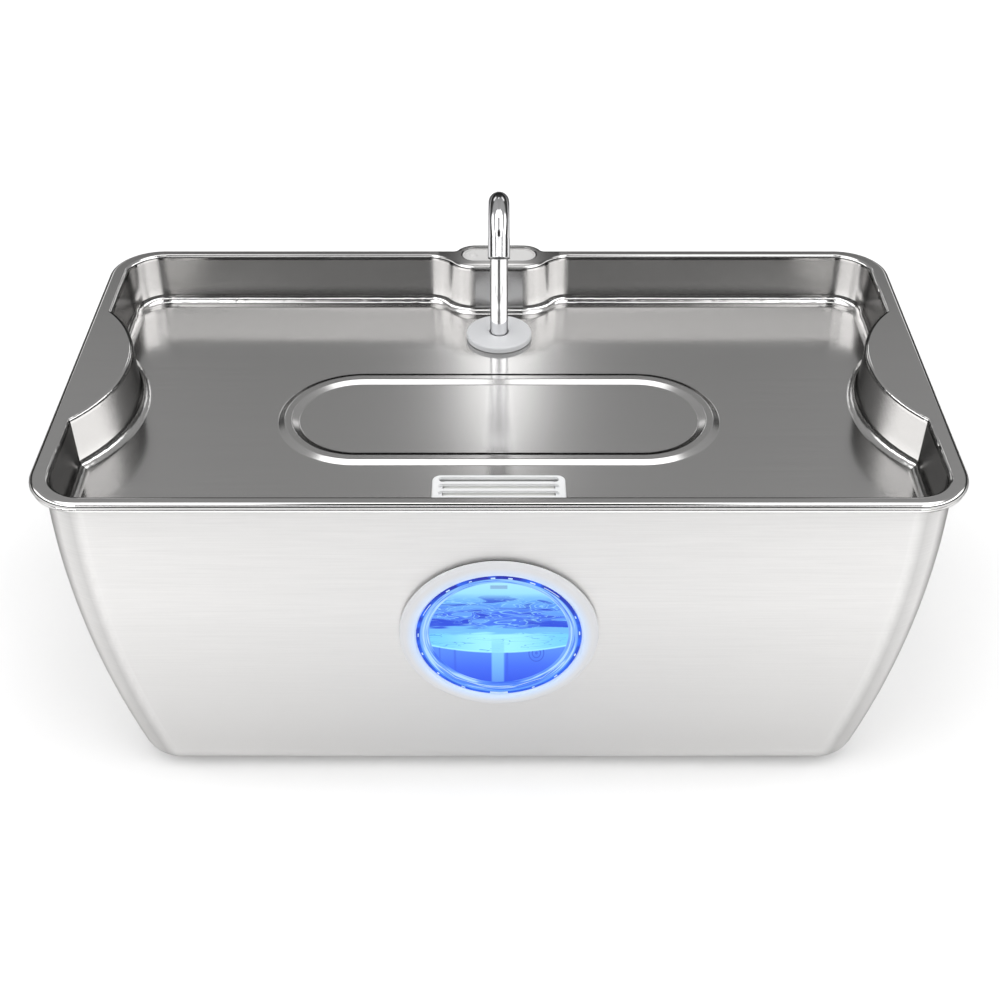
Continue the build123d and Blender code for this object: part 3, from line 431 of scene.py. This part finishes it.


# the cap's colours, painted as a glow, from its foot to its top
SLOPE_STOPS = [(0.0, srgb(70, 130, 250)), (0.35, srgb(112, 168, 252)), (0.75, srgb(140, 190, 252)),
               (1.0, srgb(120, 190, 255))]
# painted light and dark streaks on the sloping ring
SLOPE_LIGHT, SLOPE_DARK = srgb(176, 220, 255), srgb(58, 112, 244)
RIM_STOPS = [(0.0, srgb(18, 92, 236)), (0.4, srgb(8, 72, 214)), (1.0, srgb(14, 30, 172))]
# RIM_EDGE: painted highlight along the rim's inner edge
RIM_PATCH, RIM_EDGE = srgb(34, 104, 246), srgb(96, 160, 250)
# colours of the painted glints on the raised marks and facet ridges
MARK_DARK, MARK_LIGHT = srgb(188, 222, 255), srgb(218, 240, 255)
CAP_TOP = 1.2                    # half the cap's height in units of the view's radius


def paint_lens(s, p, q):
    """The whole cap painted as a glow: the view, the sloping ring with fine turned lines as painted light and
    dark streaks, and the dark raised rim with a painted highlight along its inner edge.
    """
    radius = s.length(p, q)
    height = s.remap(q, -CAP_TOP, CAP_TOP)
    streak = s.noise(s.join(s.times(radius, 34.0), s.times(p, 1.5), s.times(q, 1.5)), 1.0)
    slope = s.ramp(height, SLOPE_STOPS)
    slope = s.mix(s.remap(streak, 0.52, 0.62), slope, SLOPE_LIGHT)
    slope = s.mix(s.remap(streak, 0.44, 0.36), slope, SLOPE_DARK)
    patch = s.noise(s.join(s.times(p, 3.0), s.times(q, 3.0)), 1.0)
    rim = s.mix(s.remap(patch, 0.50, 0.62), s.ramp(height, RIM_STOPS), RIM_PATCH)
    rim = s.mix(s.remap(radius, 1.145, 1.128), rim, RIM_EDGE)
    colour = s.mix(s.remap(radius, 1.0, 1.004), paint_view(s, p, q), slope)
    rim_from = RIM_IN_R / VIEW_R
    return s.mix(s.remap(radius, rim_from - 0.002, rim_from), colour, rim)


def paint_mark(s, p, q):
    """Painted highlight of a lit edge: a pale blue glow, a little brighter towards the top."""
    edge = s.mix(s.remap(s.noise(s.place, 260.0), 0.35, 0.65), MARK_DARK, MARK_LIGHT)
    return s.mix(s.remap(q, -CAP_TOP, CAP_TOP), s.mix(1.0, edge, grey(0.92), "MULTIPLY"), edge)


def add_glint(name, points, faces, made):
    """Small raised piece on the cap."""
    mesh = bpy.data.meshes.new(name)
    mesh.from_pydata([tuple(point) for point in points], [], faces)
    mesh.validate()
    mesh.materials.append(made)
    piece = bpy.data.objects.new(name, mesh)
    bpy.context.scene.collection.objects.link(piece)
    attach(piece, "tank")


# middle and span in degrees, and width in millimetres, of each raised mark along the cap's rim
MARKS = [(94, 3, 0.5), (82, 3, 0.5), (110, 2, 0.35), (128, 3, 0.45), (66, 4, 0.4), (50, 14, 0.22),
         (20, 2, 0.45), (4, 3, 0.45), (-18, 2, 0.5), (-44, 3, 0.4), (-64, 2, 0.4), (-90, 13, 0.75),
         (-117, 3, 0.4), (-140, 2, 0.45), (-163, 2, 0.5), (178, 3, 0.4), (152, 12, 0.22)]
FACETS, FACET_FROM, FACET_SPAN = 5, -150, 24             # number, and degrees
FACET_R, FACET_OUT = 30.2 * MM, 2.1 * MM
FACET_HALF, FACET_RISE = 0.11 * MM, 0.25 * MM            # half a facet edge's width, and its height


def mark_mesh(turn, span, width):
    """Points and faces of a bar that is bent along the cap's rim."""
    steps = max(2, int(span / 2))
    inner, outer, rise = MARK_R - width / 2, MARK_R + width / 2, width / 2
    points, faces = [], []
    for step in range(steps + 1):
        angle = radians(turn + span * (step / steps - 0.5))
        points += [at_window(radius, angle, RIM_OUT + out)
                   for radius, out in ((inner, 0), (inner, rise), (outer, rise), (outer, 0))]
    last = steps * 4
    for a in range(0, last, 4):
        faces += [(a + side, a + side + 4, a + side + 5, a + side + 1) for side in range(3)]
    faces += [(3, 2, 1, 0), (last, last + 1, last + 2, last + 3)]
    return points, faces


def facet_mesh(number):
    """Points and faces of one straight ridge where two facets of the cap meet."""
    a, b = (at_window(FACET_R, radians(FACET_FROM + FACET_SPAN * step), FACET_OUT)
            for step in (number, number + 1))
    half, rise = (UP + OUT) * FACET_HALF, OUT * FACET_RISE
    return [a - half, b - half, b + half, a + half, a + rise, b + rise], [(0, 1, 5, 4), (4, 5, 2, 3)]


def build_window():
    """Lit water painted as a glow on the clear cap, and painted glints on its lugs and facets."""
    dress(glowing("window_painted_water_glow", paint_lens), "window_lens")
    made = glowing("window_painted_glint", paint_mark)
    for number, (turn, span, width) in enumerate(MARKS):
        add_glint(f"lens_mark_{number:02d}", *mark_mesh(turn, span, width * MM), made)
    for number in range(FACETS):
        add_glint(f"lens_facet_{number}", *facet_mesh(number), made)


def bezel_plastic():
    """White plastic with a painted blue glow near the opening: a blue-tinted colour and a faint emission."""
    made, s = material("white_bezel")
    lit = s.soft(s.length(*window_place(s)), BEZEL_LIT_R / VIEW_R, OPENING_R / VIEW_R)
    grain = s.noise(s.place, 900.0, detail=4.0)
    s.put(s.bsdf["Base Color"], s.mix(s.times(lit, 0.85), srgb(208, 209, 212), srgb(196, 214, 240)))
    s.put(s.bsdf["Roughness"], s.swing(0.35, 0.10, grain))
    s.put(s.bsdf["Normal"], s.bump(grain, 0.3, 0.01 * MM))
    s.put(s.bsdf["Emission Color"], srgb(150, 205, 255))
    s.put(s.bsdf["Emission Strength"], s.times(lit, 0.08))
    return made


# ------------------------------------------------------------------ finishes of the CAD nodes
TOP_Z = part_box("tray_pan")[1].z               # height of the tray's deck
TRAY_ROLL_Z = TOP_Z - 2.4 * MM                # the tray's rolled edge reaches down to here
TANK_ROLL_Z = TOP_Z - 4.9 * MM                # the tank's rolled edge starts here
TRAY_FLOOR_Z = TOP_Z - 24 * MM                # the tray's walls stand on this
SATIN_ROUGH = 0.25                            # roughness of the tray's walls
SATIN = (TRAY_FLOOR_Z + 3 * MM, TRAY_FLOOR_Z + 9 * MM, SATIN_ROUGH)
ROLL_ROUGH = 0.10                             # roughness of the rolled edges
TANK_FOOT_SHADE = (20 * MM, 100 * MM)               # painted shade: the tank's tone rises between these heights, darker towards the bottom
# places round the tank's corners, from the long walls to the end walls, and their tones: painted reflection
# bands
PAINTED_CORNER_BANDS = [(0.04, 1.0), (0.20, 0.74), (0.42, 0.96), (0.60, 0.72), (0.85, 0.68), (0.98, 0.96)]
PLUG_SHADE_REACH = Vector((12 * MM, 4.5 * MM, 0))  # how far the painted shade reaches round the plug
# box of painted shade on the tray's top round the cable plug
plug_low, plug_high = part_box("cable_plug")
PLUG_SHADE_BOX = (Vector((*(plug_low - PLUG_SHADE_REACH).xy, TRAY_ROLL_Z)), plug_high + PLUG_SHADE_REACH)


def finish_nodes():
    """Materials of all CAD nodes but the lens."""
    dress(brushed_steel("tank_steel", 0.91, 0.46, (36, 36, 2200), grain_rough=0.04, depth=0.004 * MM,
                        variation=0.035, rim=(TANK_ROLL_Z, ROLL_ROUGH), aniso=0.9, foot_shade=TANK_FOOT_SHADE,
                        reflection_bands=PAINTED_CORNER_BANDS),
          "tank_shell")
    dress(brushed_steel("tray_steel", 0.62, 0.165, (12, 420, 420), grain_rough=0.015, depth=0.0006 * MM,
                        variation=0.015, rim=(TRAY_ROLL_Z, ROLL_ROUGH), satin=SATIN, plug_shade=PLUG_SHADE_BOX),
          "tray_pan")
    dress(plain("polished_steel", (0.80, 0.80, 0.81), 0.10, depth=0.001 * MM, variation=0.02, metallic=1.0),
          "gooseneck", "spout_nozzle", "riser_tube")
    dress(bezel_plastic(), "window_bezel")
    dress(plain("white_plastic", srgb(224, 225, 226), 0.34, coat=0.2), "drain_grille", "filter_basket")
    dress(plain("grey_plastic", srgb(196, 197, 199), 0.34), "faucet_base", "base_nut", "window_nut")
    dress(plain("black_rubber", (0.03, 0.03, 0.03), 0.65),
          "foot_pads", "chamber_oring", "shaft_bushes", "cable_gland", "suction_cups", "window_gasket")
    dress(plain("silicone", (0.56, 0.555, 0.55), 0.42),
          "cable_plug", "lens_seal", "window_inner_gasket", "base_washer", "outlet_hose")
    dress(plain("pump_plastic", (0.035, 0.036, 0.04), 0.45),
          "pump_housing", "chamber_cover", "inlet_cover", "flow_straightener")
    dress(plain("sponge", (0.05, 0.052, 0.056), 0.9, 700.0, 0.4 * MM, variation=0.3), "prefilter_sponge")
    dress(plain("fleece", (0.78, 0.78, 0.76), 0.9, 500.0, 0.3 * MM, variation=0.06), "filter_fleece")
    dress(plain("carbon", (0.02, 0.02, 0.02), 0.6, 450.0, 0.5 * MM, variation=0.4), "filter_carbon")
    dress(plain("resin", (0.42, 0.24, 0.08), 0.45, 600.0, 0.4 * MM, variation=0.3), "filter_resin")
    dress(plain("ceramic", (0.80, 0.79, 0.75), 0.25), "impeller_shaft")
    dress(plain("magnet", (0.10, 0.10, 0.11), 0.5, metallic=0.6), "rotor_magnet")
    dress(plain("impeller_plastic", (0.62, 0.63, 0.65), 0.35), "impeller", "led_lens")
    dress(plain("led_board", (0.02, 0.10, 0.30), 0.4), "led_board")


# ------------------------------------------------------------------ stage and light
FLOOR_REACH = 6.0                # half the floor's width
FLOOR_TONE = 0.90
GREY_ROOM = 0.36                 # radiance of the room straight behind
SIDE_ROOM = 0.40                 # the same at the two sides
FRONT_ROOM = 0.05                # the same in front
HORIZON = 0.06                   # dark foot of the room
DARK_CARD = 0.03                 # dark cards at the front's two sides, and over the front
SOFT_LIGHT = 2.6                 # big light overhead
SIDE_LIGHT = 3.4                 # a light at each side
FILL_LIGHT = 4.2                 # a light at each front corner
REAR_LIGHT = 1.5                 # a low light at each back corner
STRIP_LIGHT = 3.2                # narrow upright light straight behind
BACKDROP = 1.0                   # white paper behind the floor, as the camera sees it


def make_floor():
    """Plain pale floor."""
    mesh = bpy.data.meshes.new("floor")
    r = FLOOR_REACH
    mesh.from_pydata([(-r, -r, 0), (r, -r, 0), (r, r, 0), (-r, r, 0)], [], [(0, 1, 2, 3)])
    floor = bpy.data.objects.new("floor", mesh)
    bpy.context.scene.collection.objects.link(floor)
    made, s = material("floor")
    s.bsdf["Base Color"].default_value = grey(FLOOR_TONE)
    s.bsdf["Roughness"].default_value = 0.7
    s.bsdf["Specular IOR Level"].default_value = 0.1
    mesh.materials.append(made)


def sky_radiance(s):
    """Radiance of the studio by direction, the same to the left and to the right."""
    x, y, z = s.split(s.add("ShaderNodeTexCoord").outputs["Generated"])
    side = s.size(x)
    degrees = 180 / pi
    turn = s.times(s.math("ARCTAN2", side, s.times(y, -1.0)), degrees)        # 0 in front, 180 behind
    up = s.times(s.math("ARCTAN2", z, s.length(x, y)), degrees)               # 0 level, 90 overhead

    room = s.mix(s.soft(turn, 36, 54), grey(FRONT_ROOM), grey(SIDE_ROOM))
    room = s.mix(s.soft(turn, 158.4, 171), room, grey(GREY_ROOM))
    skyline = s.remap(turn, 0, 153, 14, 27)
    room = s.mix(s.soft(s.minus(up, skyline), 2.7, -2.7), room, grey(HORIZON))

    overhead_edge = s.remap(turn, 0, 180, 31, 73)
    front = s.soft(y, 0.02, -0.04)
    tall_card = s.times(s.soft(side, 0.17, 0.12), s.remap(up, 43, 45))
    wide_card = s.times(s.soft(side, 0.34, 0.28), s.band(up, 44, 58, 1.08))
    # a light or card's radiance, and where it is: later ones lie over earlier ones
    layers = (
        (DARK_CARD, s.times(s.band(turn, 34, 66, 3.6), s.soft(up, 26, 18))),
        (SIDE_LIGHT, s.times(s.band(turn, 58, 118, 7.2), s.band(up, 20, 36, 2.7))),
        (FILL_LIGHT, s.times(s.band(turn, 18, 64, 5.4), s.band(up, 20, 32, 1.8))),
        (SOFT_LIGHT, s.soft(s.minus(up, overhead_edge), -1.35, 4.5)),
        (DARK_CARD, s.times(s.math("MAXIMUM", tall_card, wide_card), front)),
        (REAR_LIGHT, s.times(s.band(turn, 151.2, 166.5, 2.16), s.band(up, 17, 25.5, 1.08))),
        (STRIP_LIGHT, s.times(s.soft(turn, 178.2, 179.2), s.band(up, 28, 35, 1.8))),
    )
    radiance = room
    for tone, where in layers:
        radiance = s.mix(where, radiance, grey(tone))
    return radiance


def make_studio():
    """World of soft lights and dark cards, with white paper where the camera looks past the floor."""
    world = bpy.data.worlds.new("studio")
    bpy.context.scene.world = world
    world.use_nodes = True
    s = Shader(world.node_tree)
    background = s.add("ShaderNodeBackground")
    out = s.add("ShaderNodeOutputWorld")
    world.node_tree.links.new(background.outputs[0], out.inputs[0])
    seen = s.add("ShaderNodeLightPath").outputs["Is Camera Ray"]
    s.put(background.inputs["Color"], s.mix(seen, sky_radiance(s), grey(BACKDROP)))


finish_nodes()
build_window()
bpy.context.scene.view_settings.view_transform = "Standard"
make_camera()
make_floor()
make_studio()
